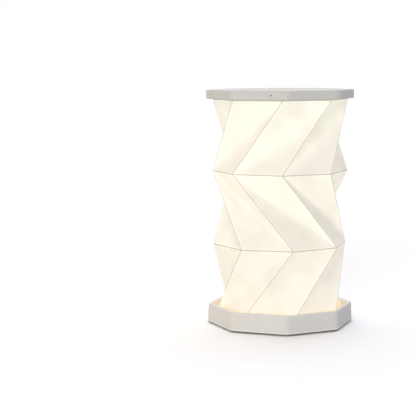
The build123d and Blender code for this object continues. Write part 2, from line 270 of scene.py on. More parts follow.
def shade_paper(look):
    """White paper lit from inside: soft glow, grey pressed folds, clouds and fibres."""
    finish = Finish("shade_paper", look.paper_colour, 0.92, IOR=1.4, Specular_IOR_Level=0.15)
    folds = finish.add("ShaderNodeUVMap", uv_map="fold_map").outputs["UV"]

    def from_edges(axis, width):
        """Distance in from the nearer of a panel's two edges."""
        along = finish.part(folds, axis)
        near = finish.math("MINIMUM", along, finish.math("SUBTRACT", 1.0, along))
        return finish.times(near, width)

    mountain, ring = from_edges("X", look.panel_width), from_edges("Y", look.panel_height)
    from_fold = finish.math("MINIMUM", mountain, ring)
    crease = finish.span(from_fold, look.crease_width * CREASE_CORE, look.crease_width, 1.0, 0.0)
    from_ridge = finish.math("SUBTRACT", from_fold, look.crease_width * RIDGE_PLACE)
    ridge = finish.span(finish.math("ABSOLUTE", from_ridge), 0.0, look.crease_width, 1.0, 0.0)
    clouds = finish.noise(finish.place, 55.0, detail=4.0, roughness=0.55)
    fibre_place = finish.vector("MULTIPLY", finish.place, (1.0, 1.0, FIBRE_STRETCH))
    fibres = finish.noise(fibre_place, 1400.0, detail=4.0, roughness=0.7)
    tone = finish.line(clouds, 0.5, 0.25)
    tone = finish.math("ADD", tone, finish.line(fibres, FIBRE_TINT, -FIBRE_TINT / 2))
    body = finish.blend(tone, look.paper_shade, look.paper_colour)
    body = finish.blend(finish.times(crease, CREASE_TINT), body, look.crease_colour)

    lit = finish.add("ShaderNodeAttribute", attribute_name="glow").outputs["Fac"]
    height = finish.part(finish.place, "Z")
    bounced = finish.span(height, look.bounce_low, look.bounce_high, look.bounce_share, 0.0)
    direct = finish.span(lit, look.glow_from, look.glow_to)
    # Low down, bounces even out the direct glow.
    evened = finish.math("SUBTRACT", look.bounce_level, direct)
    direct = finish.line(evened, bounced, direct)
    strength = finish.line(direct, look.direct_glow, look.even_glow)
    for value, change, start in (
        (finish.noise(finish.place, 14.0), 0.4, 0.8),
        (clouds, 0.5, 0.75),
        (crease, -CREASE_SHADE, 1.0),
        (ridge, RIDGE_GLOW, 1.0),
    ):
        strength = finish.times(strength, finish.line(value, change, start))
    foot = finish.span(height, look.foot_low, look.foot_high, 1.0, 0.0)
    strength = finish.line(foot, look.foot_glow, strength)
    pale = finish.blend(direct, look.dim_glow_colour, look.glow_colour)
    warm = finish.blend(foot, pale, look.foot_colour)
    finish.set(Base_Color=body, Emission_Color=warm, Emission_Strength=strength)
    finish.bump(finish.weighed(fibres, 0.5, clouds), 0.06 * MM, strength=0.5)
    return finish.material


def spun_copper(look):
    """Copper face turned on a lathe: fine rings and a satin sheen under clear lacquer."""
    finish = Finish(
        "spun_copper", look.copper_colour, 0.34, Metallic=1.0, Anisotropic=0.55,
        Coat_Weight=0.4, Coat_Roughness=0.3,
    )
    radius = finish.vector("LENGTH", finish.vector("MULTIPLY", finish.place, (1.0, 1.0, 0.0)))
    rings = finish.noise(finish.joined(radius), 5200.0, detail=3.0, roughness=0.7)
    patina = finish.noise(finish.place, 120.0, detail=3.0)
    mixed = finish.weighed(rings, 0.5, patina)
    tone = finish.mottle(mixed, look.copper_shade, look.copper_colour, 0.35, 0.65)
    tangent = finish.add("ShaderNodeTangent", direction_type="RADIAL", axis="Z").outputs[0]
    gloss = finish.line(rings, 0.16, 0.16)
    finish.set(Base_Color=tone, Roughness=gloss, Tangent=tangent)
    finish.bump(rings, 0.012 * MM, strength=0.5)
    return finish.material


def plain_metal(name, light, dark, roughness, stretch, scale):
    """Rolled or plated metal with streaks; they are drawn out where the stretch is smallest."""
    finish = Finish(name, light, roughness, Metallic=1.0)
    drawn = finish.vector("MULTIPLY", finish.place, stretch)
    streaks = finish.noise(drawn, scale, detail=4.0, roughness=0.6)
    spots = finish.noise(finish.place, scale * 0.12)
    tone = finish.mottle(finish.weighed(streaks, 0.6, spots), dark, light)
    gloss = finish.line(streaks, 0.25, roughness - 0.12)
    finish.set(Base_Color=tone, Roughness=gloss)
    finish.bump(streaks, 0.01 * MM, strength=0.4)
    return finish.material


def grained(name, colour, roughness, grain, span, tones, depth):
    """Matt stuff with a fine grain.

    The grain is (scale, detail, roughness) of its noise, the span (lowest, highest) is the part
    of it that carries the two tones, and depth is that of its bump.
    """
    finish = Finish(name, colour, roughness)
    specks = finish.noise(finish.place, *grain)
    finish.set(Base_Color=finish.mottle(specks, *tones, *span))
    finish.bump(specks, depth)
    return finish.material


def card():
    """Pressed grey-white card with flecks."""
    grain = (900.0, 5.0, 0.7)
    return grained("white_card", "E6E2D8", 0.9, grain, (0.3, 0.7), ("D9D3C6", "EEEBE2"), 0.05 * MM)


def foot_rubber():
    """Grey silicone rubber with a dusty bloom."""
    grain = (700.0, 4.0, 0.65)
    return grained("foot_rubber", "8E8D8A", 0.75, grain, (0.3, 0.75), ("7C7B78", "A3A29E"), 0.02 * MM)


def chip_resin():
    """Black moulded resin with a sandblasted top."""
    grain = (3200.0, 2.0, 0.5)
    return grained("chip_resin", "26272A", 0.55, grain, (0.35, 0.65), ("1E1F22", "34363A"), 0.02 * MM)


def board_lacquer(name, lacquer, tracks, roughness):
    """Circuit board: lacquer over faintly raised square tracks and glass weave."""
    finish = Finish(name, lacquer, roughness)
    values = {"Vector": finish.place, "Rotation": (0, 0, SECTOR / 2)}
    turned = finish.add("ShaderNodeMapping", values).outputs[0]
    values = {"Vector": turned, "Scale": 150.0, "Mortar Size": 0.12, "Mortar Smooth": 0.3}
    brick = finish.add("ShaderNodeTexBrick", values, offset=0.37, squash=1.6, squash_frequency=3)
    track = finish.math("SUBTRACT", 1.0, brick.outputs["Fac"])
    weave = finish.line(finish.noise(finish.place, 1800.0), 0.3, 0.6)
    shown = finish.times(track, weave)
    finish.set(Base_Color=finish.blend(shown, tracks, lacquer))
    finish.bump(track, 0.03 * MM)
    return finish.material


def battery_foil():
    """Silver pouch foil with soft dents."""
    finish = Finish("battery_foil", "C9CACB", 0.35, Metallic=0.9)
    dents = finish.noise(finish.place, 90.0, detail=3.0, roughness=0.55)
    gloss = finish.line(finish.noise(finish.place, 1200.0), 0.2, 0.26)
    tone = finish.mottle(dents, "B4B6B8", "D2D3D4")
    finish.set(Base_Color=tone, Roughness=gloss)
    finish.bump(dents, 0.25 * MM)
    return finish.material


def opal_plastic(look):
    """Milky cup over the lights, glowing evenly."""
    finish = Finish("opal_plastic", "F6F2E6", 0.45, IOR=1.49, Emission_Color=look.glow_colour)
    milk = finish.noise(finish.place, 60.0, detail=3.0)
    tone = finish.mottle(milk, "EFE8D6", "FBF8EF")
    strength = finish.line(milk, 0.3, look.cup_glow)
    finish.set(Base_Color=tone, Emission_Strength=strength)
    return finish.material


def clear_plastic():
    """Clear rod, slightly frosted at its ends."""
    finish = Finish("clear_plastic", "F4F6F6", 0.12, IOR=1.49, Transmission_Weight=0.9)
    frost = finish.noise(finish.place, 2400.0, detail=3.0)
    finish.set(Roughness=finish.line(frost, 0.3, 0.05))
    return finish.material


def led_phosphor(name, glow_colour, glow):
    """Yellow resin over an LED die."""
    finish = Finish(name, "F2D777", 0.4, Emission_Color=glow_colour, Emission_Strength=glow)
    cells = finish.noise(finish.place, 2500.0)
    finish.set(Base_Color=finish.blend(cells, "E9C65A", "F7E39A"))
    return finish.material


def dress(finish, *nodes):
    """Give CAD nodes their material."""
    for node in nodes:
        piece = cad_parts[node]
        if len(piece.material_slots) == 0:
            piece.data.materials.append(finish)
        for slot in piece.material_slots:
            slot.material = finish


# ---- Meshes ----
PAPER_FOLD = math.radians(24)       # folds in the paper sharper than this stay sharp
SCREW_EDGE = math.radians(30)       # and so do the screws' edges over this
SMALL_EDGE = math.radians(35)       # and those of the LEDs and feet over this


def new_object(name, data):
    made = bpy.data.objects.new(name, data)
    bpy.context.scene.collection.objects.link(made)
    return made


def mesh_of(name, shape):
    """New mesh from an edited shape, which is freed."""
    mesh = bpy.data.meshes.new(name)
    shape.to_mesh(mesh)
    shape.free()
    return mesh


def turned_shape(name, profile, steps):
    """Solid turned about Z from (radius, height) points, the first and last on the axis."""
    shape = bmesh.new()
    rows = []
    for radius, height in profile:
        count = 1 if radius == 0 else steps
        angles = [math.tau * step / steps for step in range(count)]
        around = [(radius * math.cos(angle), radius * math.sin(angle), height) for angle in angles]
        rows.append([shape.verts.new(place) for place in around])
    for low, high in zip(rows, rows[1:]):
        for step in range(steps):
            following = (step + 1) % steps
            corners = [low[step % len(low)], low[following % len(low)]]
            corners += [high[following % len(high)], high[step % len(high)]]
            shape.faces.new(list(dict.fromkeys(corners)))
    bmesh.ops.recalc_face_normals(shape, faces=shape.faces)
    return mesh_of(name, shape)


def box_shape(name, size, centre, bevel):
    """Block with rounded edges."""
    shape = bmesh.new()
    bmesh.ops.create_cube(shape, size=1.0)
    bmesh.ops.scale(shape, vec=size, verts=shape.verts)
    bmesh.ops.translate(shape, vec=centre, verts=shape.verts)
    bmesh.ops.bevel(shape, geom=shape.edges[:], offset=bevel, segments=2, affect="EDGES")
    return mesh_of(name, shape)


def finished(helper, name):
    """Plain mesh object from a helper object's evaluated modifiers; the helper goes."""
    bpy.context.view_layer.update()
    evaluated = helper.evaluated_get(bpy.context.evaluated_depsgraph_get())
    mesh = bpy.data.meshes.new_from_object(evaluated)
    mesh.name = name
    bpy.data.objects.remove(helper)
    return new_object(name, mesh)


def smooth_by_angle(mesh, limit):
    """Smooth shading, with edges sharper than the limit kept sharp."""
    mesh.shade_smooth()
    shape = bmesh.new()
    shape.from_mesh(mesh)
    for edge in shape.edges:
        if len(edge.link_faces) == 2:
            edge.smooth = edge.calc_face_angle() < limit
    shape.to_mesh(mesh)
    shape.free()


# ---- Geometry Nodes ----
INPUT_KINDS = {"Cells": "Int", "Seed": "Int", "Shape": "Object"}


def new_tree(name, *labels):
    """Geometry tree with these inputs; gives its graph and its group input."""
    tree = bpy.data.node_groups.new(name, "GeometryNodeTree")
    tree.interface.new_socket("Geometry", in_out="OUTPUT", socket_type="NodeSocketGeometry")
    for label in ("Geometry", *labels):
        kind = label if label in {"Geometry", "Material"} else INPUT_KINDS.get(label, "Float")
        tree.interface.new_socket(label, in_out="INPUT", socket_type="NodeSocket" + kind)
    graph = Graph(tree)
    return graph, graph.add("NodeGroupInput").outputs


def end_tree(graph, geometry, finish):
    """Give the geometry its material and put it out."""
    done = graph.add("GeometryNodeSetMaterial", {"Geometry": geometry, "Material": finish})
    graph.add("NodeGroupOutput", {0: done.outputs[0]})
    return graph.tree


def run_tree(holder, tree, values):
    """Put a tree on an object as a modifier, with its inputs set by identifier."""
    modifier = holder.modifiers.new(tree.name, "NODES")
    modifier.node_group = tree
    for item in tree.interface.items_tree:
        if item.in_out == "INPUT" and item.name in values:
            modifier[item.identifier] = values[item.name]


SHARED_INPUTS = ("Radius", "Cells", "Valley Softness", "Light Height")
TIER_INPUTS = ("Low Height", "High Height", "Low Turn", "High Turn", "Leans Left")
MERGE_REACH = 0.01 * MM       # corners of neighbouring sectors nearer than this are joined


def tier_tree():
    """One sector of a tier: a square grid carried onto two triangles with a soft valley between."""
    graph, given = new_tree("folded_tier", *SHARED_INPUTS, *TIER_INPUTS)
    rows = graph.math("ADD", given["Cells"], 1)
    sizes = {"Size X": 1.0, "Size Y": 1.0, "Vertices X": rows, "Vertices Y": rows}
    grid = graph.add("GeometryNodeMeshGrid", sizes)
    spot = graph.add("GeometryNodeInputPosition").outputs[0]
    lean = given["Leans Left"]
    back = graph.math("SUBTRACT", 1.0, lean)

    def corner(end, share):
        """Corner of the low or high ring crease, share of a sector on from its turn."""
        angle = graph.line(share, SECTOR, given[end + " Turn"])
        x = graph.times(given["Radius"], graph.math("COSINE", angle))
        y = graph.times(given["Radius"], graph.math("SINE", angle))
        return graph.joined(x, y, given[end + " Height"])

    low_near, low_far = corner("Low", back), corner("Low", lean)
    high_near, high_far = corner("High", back), corner("High", lean)
    low_side = graph.vector("SUBTRACT", low_far, low_near)
    high_side = graph.vector("SUBTRACT", high_far, high_near)
    near_fold = graph.vector("SUBTRACT", high_near, low_near)
    far_fold = graph.vector("SUBTRACT", high_far, low_far)
    valley = graph.vector("ADD", low_side, far_fold)

    # u runs along the ring creases and v up the mountain folds, each from 0 to 1. The valley
    # is where they are equal, so u runs backwards where the folds lean the other way.
    v = graph.math("ADD", graph.part(spot, "Y"), 0.5)
    plain_u = graph.math("ADD", graph.part(spot, "X"), 0.5)
    flip = graph.line(lean, 2.0, -1.0)
    u = graph.line(plain_u, flip, back)
    half_sum = graph.times(graph.math("ADD", u, v), 0.5)
    offset = graph.math("SUBTRACT", u, v)

    def hump(value):
        """0 at both ends of a side and a quarter in its middle."""
        return graph.times(value, graph.math("SUBTRACT", 1.0, value))

    swell = graph.math("SQRT", graph.times(graph.times(hump(u), hump(v)), 16.0))
    soft = graph.times(swell, given["Valley Softness"])
    squares = graph.math("ADD", graph.math("POWER", offset, 2.0), graph.math("POWER", soft, 2.0))
    rounded = graph.math("SQRT", graph.math("MAXIMUM", squares, 0.0))
    lower_share = graph.times(graph.math("ADD", rounded, offset), 0.25)
    upper_share = graph.times(graph.math("SUBTRACT", rounded, offset), 0.25)
    place = graph.added(
        low_near,
        graph.scaled(valley, half_sum),
        graph.scaled(graph.vector("SUBTRACT", low_side, far_fold), lower_share),
        graph.scaled(graph.vector("SUBTRACT", near_fold, high_side), upper_share),
    )

    def store(geometry, name, kind, value):
        """Keep a value on the corners of the faces, for the paper's material."""
        values = {"Geometry": geometry, "Name": name, 3: value}
        settings = {"data_type": kind, "domain": "CORNER"}
        return graph.add("GeometryNodeStoreNamedAttribute", values, **settings).outputs[0]

    tagged = store(grid.outputs["Mesh"], "fold_map", "FLOAT2", graph.joined(u, v))
    moved = graph.add("GeometryNodeSetPosition", {"Geometry": tagged, "Position": place})

    # How squarely the light meets the paper from inside, raised a little with distance.
    here = graph.add("GeometryNodeInputPosition").outputs[0]
    normal = graph.add("GeometryNodeInputNormal").outputs[0]
    ray = graph.vector("SUBTRACT", graph.joined(z=given["Light Height"]), here)
    facing = graph.vector("DOT_PRODUCT", graph.vector("NORMALIZE", ray), graph.scaled(normal, -1.0))
    facing = graph.math("MAXIMUM", facing, 0.0)
    reach = graph.math("DIVIDE", graph.vector("LENGTH", ray), given["Radius"])
    glow = graph.times(facing, graph.line(reach, 0.4, 0.6))
    at_points = graph.add("GeometryNodeFieldOnDomain", {0: glow}, data_type="FLOAT", domain="POINT")
    lit = store(moved.outputs[0], "glow", "FLOAT", at_points.outputs[0])
    graph.add("NodeGroupOutput", {0: lit})
    return graph.tree


def tube_tree(tier, tiers):
    """The whole paper tube: each tier's sector, copied round, merged and given its material."""
    rings = [f"{measure} {ring}" for ring in range(tiers + 1) for measure in ("Height", "Turn")]
    graph, given = new_tree("folded_tube", *SHARED_INPUTS, *rings, "Material")
    index = graph.add("GeometryNodeInputIndex").outputs[0]
    turn = graph.joined(z=graph.times(index, SECTOR))
    joined = graph.add("GeometryNodeJoinGeometry")
    for number in range(tiers):
        values = {label: given[label] for label in SHARED_INPUTS}
        for end, ring in (("Low", number), ("High", number + 1)):
            for measure in ("Height", "Turn"):
                values[f"{end} {measure}"] = given[f"{measure} {ring}"]
        values["Leans Left"] = graph.math("GREATER_THAN", values["High Turn"], values["Low Turn"])
        sector = graph.add("GeometryNodeGroup", values, node_tree=tier)
        points = graph.add("GeometryNodePoints", {"Count": SIDES})
        values = {"Points": points.outputs[0], "Instance": sector.outputs[0], "Rotation": turn}
        copies = graph.add("GeometryNodeInstanceOnPoints", values)
        graph.tree.links.new(copies.outputs[0], joined.inputs[0])
    real = graph.add("GeometryNodeRealizeInstances", {0: joined.outputs[0]})
    values = {"Geometry": real.outputs[0], "Distance": MERGE_REACH}
    merged = graph.add("GeometryNodeMergeByDistance", values)
    return end_tree(graph, merged.outputs[0], given["Material"])


def copies_tree():
    """One shape set on every point of the input, aimed outwards or turned at random."""
    labels = ("Shape", "Aim Outwards", "Random Turn", "Seed", "Material")
    graph, given = new_tree("copies_on_points", *labels)
    spot = graph.add("GeometryNodeInputPosition").outputs[0]
    outwards = graph.math("ARCTAN2", graph.part(spot, "Y"), graph.part(spot, "X"))
    values = {2: -1.0, 3: 1.0, "Seed": given["Seed"]}
    chance = graph.add("FunctionNodeRandomValue", values, data_type="FLOAT").outputs[1]
    aim = graph.line(outwards, given["Aim Outwards"], graph.times(chance, given["Random Turn"]))
    shape = graph.add("GeometryNodeObjectInfo", {"Object": given["Shape"]}).outputs["Geometry"]
    values = {"Points": given["Geometry"], "Instance": shape, "Rotation": graph.joined(z=aim)}
    copies = graph.add("GeometryNodeInstanceOnPoints", values)
    real = graph.add("GeometryNodeRealizeInstances", {0: copies.outputs[0]})
    return end_tree(graph, real.outputs[0], given["Material"])


def copied(name, shape, places, finish, aim=0.0, random_turn=0.0, seed=0):
    """Plain mesh of one shape repeated at each place; an aim of 1 turns it outwards."""
    tree = bpy.data.node_groups.get("copies_on_points") or copies_tree()
    model = new_object(name + "_shape", shape)
    cloud = bpy.data.meshes.new(name + "_places")
    cloud.from_pydata([tuple(place) for place in places], [], [])
    holder = new_object(name + "_holder", cloud)
    values = {"Shape": model, "Aim Outwards": aim, "Random Turn": random_turn}
    run_tree(holder, tree, values | {"Seed": seed, "Material": finish})
    made = finished(holder, name)
    bpy.data.objects.remove(model)
    return made


# ---- Settings, their kinds named like bpy.props' ----
def Colour(name, code, about):
    return FloatVectorProperty(
        name=name, description=about, default=paint(code), subtype="COLOR", size=3, min=0.0, max=1.0,
    )


def Length(name, value, about):
    return FloatProperty(name=name, description=about, default=value, unit="LENGTH", subtype="DISTANCE")


def Angle(name, degrees, about):
    value = math.radians(degrees)
    return FloatProperty(name=name, description=about, default=value, unit="ROTATION", subtype="ANGLE")


def Factor(name, value, about):
    return FloatProperty(name=name, description=about, default=value, min=0.0)


class LampShadeSettings(bpy.types.PropertyGroup):
    """Folds, colours and glow of the paper tube."""

    corner_radius: Length("Corner Radius", RINGS[0][1], "Crease corners out from the axis")
    foot_turn: Angle("Foot Turn", 2.2, "How far the paper's foot is turned in the tray")
    lower_twist: Angle("Lower Twist", 49.1, "Turn of a mountain fold over the lowest tier")
    middle_twist: Angle("Middle Twist", -54.3, "Turn over the middle tier")
    upper_twist: Angle("Upper Twist", 45.2, "Turn over the top tier")
    cells: IntProperty(name="Cells", description="Grid cells along a panel's side", default=32, min=4)
    valley_softness: Factor("Valley Softness", 0.28, "Rounding of valleys, in shares of a panel")
    sheet_thickness: Length("Sheet Thickness", 0.4 * MM, "Thickness of the paper")
    paper_colour: Colour("Paper", "D9D6CF", "Colour of the paper")
    paper_shade: Colour("Paper Shade", "CFCBC2", "Darker clouds in the paper")
    crease_colour: Colour("Creases", "C3BCB1", "Pressed lines along mountain and ring folds")
    glow_colour: Colour("Glow", "FFFBE5", "Light that comes straight through the paper")
    dim_glow_colour: Colour("Dim Glow", "FDF4E4", "Light that reaches the paper by bounces")
    foot_colour: Colour("Foot Glow", "FFD080", "Warmer light low down, inside the rim")
    even_glow: Factor("Even Glow", 0.325, "Glow from light bounced inside the tube")
    direct_glow: Factor("Direct Glow", 0.16, "Glow where the light falls straight on the paper")
    glow_from: Factor("Glow From", 0.2, "How squarely the light must meet the paper to add glow")
    glow_to: Factor("Glow To", 0.8, "How squarely it meets it where it glows fully")
    bounce_share: Factor("Bounce Share", 0.75, "How far bounces even the glow out low down")
    bounce_level: Factor("Bounce Level", 0.68, "Evened glow, as a share of the full direct glow")
    bounce_low: Length("Bounce From", 40.0 * MM, "Height up to which bounces count fully")
    bounce_high: Length("Bounce To", 160.0 * MM, "Height above which they don't count")
    foot_glow: Factor("Foot Glow Strength", 0.13, "Glow of the paper's foot, hidden by the rim")
    cup_glow: Factor("Cup Glow", 1.5, "Glow of the opal cup")
    led_glow: Factor("LED Glow", 4.0, "Glow of the LED faces")
    panel_width: Length("Panel Width", 41.0 * MM, "From one mountain fold to the next")
    panel_height: Length("Panel Height", 75.5 * MM, "From one ring crease to the next")
    crease_width: Length("Crease Width", 0.8 * MM, "Half width of a pressed fold line")
    foot_low: Length("Foot From", 14.0 * MM, "Height up to which the foot glows fully")
    foot_high: Length("Foot To", 18.9 * MM, "Height at which the foot's own glow ends")


class LampFinishSettings(bpy.types.PropertyGroup):
    """Colours of the lid, tray and button."""

    # The lid's grey and its clouds are darker than the tray's white partly as painted shade, for the
    # floor's bounce that reaches the tray more than the lid.
    lid_colour_with_painted_shade: Colour("Lid", "DAD9D5", "Light grey of the lid")
    lid_shade: Colour("Lid Shade", "D6D5D0", "Faint clouds in that grey")
    tray_colour: Colour("Tray", "ECEAE5", "White of the tray")
    tray_shade: Colour("Tray Shade", "E8E6E1", "Faint clouds in that white")
    # Painted shade: the lid's rounded top edge and its lower chamfer are painted darker.
    lid_edge_painted_shade: Colour("Lid Edge", "C6C5C2", "Rounded edge round the lid's top")
    # Painted highlight: the rounded edge of the tray's rim is painted lighter.
    rim_edge_painted_highlight: Colour("Rim Edge", "E8E9EA", "Rubbed edge of the tray's rim")
    # Painted shade: the tray's foot chamfer is painted dark grey, for the dark line where the tray meets
    # the table.
    foot_chamfer_painted_shade: Colour("Foot Edge", "7C7871", "Grey chamfer round the tray's foot")
    # Painted highlight: a light band is painted round the tray just over its foot, for light bounced
    # from the floor.
    painted_highlight_colour: Colour("Hem", "FCFAF4", "Bright line round the tray just over its foot")
    painted_highlight_height: Length("Hem Height", 2.5 * MM, "Height of that line's top over the table")
    # The plate's dark grey is partly painted shade: it darkens the gap under the tray into a dark line
    # where the tray meets the table.
    base_plate_grey_and_shade: Colour("Base Plate", "7D7B78", "Grey of the plate under the tray")
    base_shade: Colour("Base Plate Shade", "757370", "Faint clouds in that grey")
    cover_colour: Colour("Covers", "E9E8E4", "White of the inner covers")
    copper_colour: Colour("Copper", "C79A77", "Copper of the button")
    copper_shade: Colour("Copper Shade", "AD7F5D", "Darker rings in the copper")


class LampStageSettings(bpy.types.PropertyGroup):
    """Camera, floor and light."""

    camera_place: FloatVectorProperty(
        name="Camera Place", description="Where the camera stands", size=3,
        default=(-100.22 * MM, -1157.77 * MM, 242.29 * MM), unit="LENGTH", subtype="TRANSLATION",
    )
    camera_tilt: Angle("Camera Tilt", 6.678, "How far the camera looks down")
    camera_heading: Angle("Camera Heading", -1.675, "Turn of its view from +Y, about Z")
    camera_roll: Angle("Camera Roll", -0.297, "Turn about its own line of sight")
    lens: FloatProperty(
        name="Lens", description="Focal length on a 36 mm sensor", default=109.70, unit="CAMERA",
    )
    ambient: Factor("Ambient", 0.67, "Strength of the soft light from all round")
    left_tint: Colour("Left Tint", "EEE1C9", "Soft light from the left")
    right_tint: Colour("Right Tint", "9BA1B3", "Soft light from the right")
    key_strength: Factor("Key", 1.44, "Strength of the front light")
    key_azimuth: Angle("Key Azimuth", -12.0, "Its turn round from the front, left if negative")
    key_height: Angle("Key Height", 12.0, "Front light above the horizon")
    key_size: Angle("Key Size", 40.0, "Angle that the front light fills")
    back_left: Factor("Back Left Light", 0.75, "Strength of the high light behind, at left")
    back_right: Factor("Back Right Light", 0.92, "Strength of the high light behind, at right")
    back_colour: Colour("Back Light Colour", "F6F9FF", "Cool light from behind")
    back_azimuth: Angle("Back Light Azimuth", 150.0, "Their turn from the front, to either side")
    back_height: Angle("Back Light Height", 60.0, "Lights behind, above the horizon")
    back_size: Angle("Back Light Size", 62.0, "Angle that each light behind fills")
    floor_bounce: Factor("Floor Bounce", 0.62, "Share of light that the floor gives back")
    floor_white: Factor("Floor White", 1.10, "Floor's reflectance as the camera sees it")
    floor_balance: FloatVectorProperty(
        name="Floor Balance", description="Share of each colour, against the warm light", size=3,
        default=(1.02, 1.02, 1.04),
    )
    floor_size: Length("Floor Size", 30.0, "Side of the floor")


# ---- Operators: one for each piece or group of like pieces ----
class LAMP_OT_fold_shade(bpy.types.Operator):
    """Fold the paper tube in three twisted tiers"""

    bl_idname = "lamp.fold_shade"
    bl_label = "Fold Paper Shade"

    def execute(self, context):
        look = context.scene.lamp_shade
        twists = (look.lower_twist, look.middle_twist, look.upper_twist)
        heights = [PAPER_BOTTOM] + [ring[0] for ring in RINGS[1:-1]] + [PAPER_TOP]
        turns = [look.foot_turn]
        for twist in twists:
            turns.append(turns[-1] + twist)
        values = {
            "Radius": look.corner_radius, "Cells": look.cells, "Valley Softness": look.valley_softness,
            "Light Height": LIGHT_HEIGHT, "Material": shade_paper(look),
        }
        for number, (height, turn) in enumerate(zip(heights, turns)):
            values[f"Height {number}"] = height
            values[f"Turn {number}"] = turn
        holder = new_object("shade_holder", bpy.data.meshes.new("shade_holder"))
        run_tree(holder, tube_tree(tier_tree(), len(twists)), values)
        wall = holder.modifiers.new("thickness", "SOLIDIFY")
        wall.thickness = look.sheet_thickness
        wall.offset = -1.0
        shade = finished(holder, "paper_shade")
        smooth_by_angle(shade.data, PAPER_FOLD)
        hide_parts("pleated_shade")
        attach(shade, "base")
        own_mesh(shade)
        return {"FINISHED"}


class LAMP_OT_finish_shells(bpy.types.Operator):
    """Give the lid, the tray and their covers their moulded finishes, with painted shade and painted
    highlights on the lid's and tray's edges
    """

    bl_idname = "lamp.finish_shells"
    bl_label = "Finish Lid and Tray"

    def execute(self, context):
        look = context.scene.lamp_finish
        # Painted shade on the lid's rounded top edge and lower chamfer; on the tray, a painted highlight
        # on the rim's edge, painted shade on the foot chamfer and a painted highlight just over the
        # foot.
        lid_painted_edges = ((0.3, 0.86, look.lid_edge_painted_shade), (-0.85, -0.4, look.lid_edge_painted_shade))
        tray_painted_edges = ((0.25, 0.9, look.rim_edge_painted_highlight), (-0.85, -0.4, look.foot_chamfer_painted_shade))
        lid = moulded("lid_plastic", look.lid_colour_with_painted_shade, look.lid_shade, 0.62, edges=lid_painted_edges)
        tray = moulded(
            "tray_plastic", look.tray_colour, look.tray_shade, 0.62,
            edges=tray_painted_edges, painted_foot_highlight=(look.painted_highlight_height, look.painted_highlight_colour),
        )
        dress(lid, "lid_shell")
        dress(tray, "base_tray")
        dress(moulded("cover_plastic", look.cover_colour, look.tray_colour, 0.42, 1500.0), "lid_cover")
        dress(moulded("base_plastic", look.base_plate_grey_and_shade, look.base_shade, 0.6, 1500.0), "bottom_cover")
        return {"FINISHED"}


class LAMP_OT_finish_button(bpy.types.Operator):
    """Give the button its spun copper and its ring a satin finish"""

    bl_idname = "lamp.finish_button"
    bl_label = "Finish Button"

    def execute(self, context):
        look = context.scene.lamp_finish
        switch = plain_metal("switch_steel", "B9BBBD", "8F9194", 0.4, (1, 1, 6), 900.0)
        dress(spun_copper(look), "power_button")
        dress(moulded("ring_plastic", "DBD8D2", look.tray_colour, 0.32, 3200.0), "button_ring")
        dress(switch, "tactile_switch")
        return {"FINISHED"}


LED_WIDTH = 2.8 * MM
LED_BODY = 0.9                # height of an LED's package, as a share of the LED's
LED_BEVEL = 0.12 * MM
LED_BOWL = 1.1 * MM           # radius of the resin face
LED_STEPS = 24                # sides of a turned face


class LAMP_OT_finish_light(bpy.types.Operator):
    """Finish the LED board and the opal cup, and set the LEDs in their ring"""

    bl_idname = "lamp.finish_light"
    bl_label = "Finish Light"

    def execute(self, context):
        look = context.scene.lamp_shade
        dress(board_lacquer("led_board_lacquer", "F1F0EC", "DAD7CF", 0.45), "led_board")
        dress(opal_plastic(look), "light_diffuser")
        solids = separate_solids("led_chips")
        places = [(centre.x, centre.y, high.z) for centre, low, high in solids]
        tall = solids[0][2].z - solids[0][1].z
        body = tall * LED_BODY
        size = (LED_WIDTH, LED_WIDTH, body)
        package = box_shape("led_package", size, (0, 0, -body / 2), LED_BEVEL)
        white = moulded("led_package_resin", "F0EEE8", "E4E1D8", 0.4)
        bodies = copied("led_packages", package, places, white, aim=1.0)
        # The resin face fills a bowl in the package and bulges a little past it.
        profile = [(0, -0.3), (1, -0.3), (1, -0.93), (0.7, -0.99), (0, -1)]
        profile = [(radius * LED_BOWL, height * tall) for radius, height in profile]
        lit = led_phosphor("led_phosphor", look.glow_colour, look.led_glow)
        face = turned_shape("led_lens", profile, LED_STEPS)
        faces = copied("led_faces", face, places, lit, aim=1.0)
        for piece in (bodies, faces):
            smooth_by_angle(piece.data, SMALL_EDGE)
            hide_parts("led_chips")
            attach(piece, "lid")
        return {"FINISHED"}


class LAMP_OT_set_screws(bpy.types.Operator):
    """Set the lid's and the board's screws, with cross recesses"""

    bl_idname = "lamp.set_screws"
    bl_label = "Set Screws"

    def execute(self, context):
        steel = plain_metal("screw_steel", "C6C7C8", "8E9093", 0.32, (1, 1, 1), 1500.0)
        for node, head_height, seed in (("lid_screws", 1.3 * MM, 3), ("board_screws", 0.45 * MM, 8)):
            solids = separate_solids(node)
            places = [(centre.x, centre.y, low.z) for centre, low, high in solids]
            size = solids[0][2] - solids[0][1]
            shape = screw_shape(node, size.x / 2, head_height, size.z)
            screws = copied(node + "_crossed", shape, places, steel, random_turn=math.pi, seed=seed)
            smooth_by_angle(screws.data, SCREW_EDGE)
            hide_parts(node)
            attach(screws, "lid")
        return {"FINISHED"}


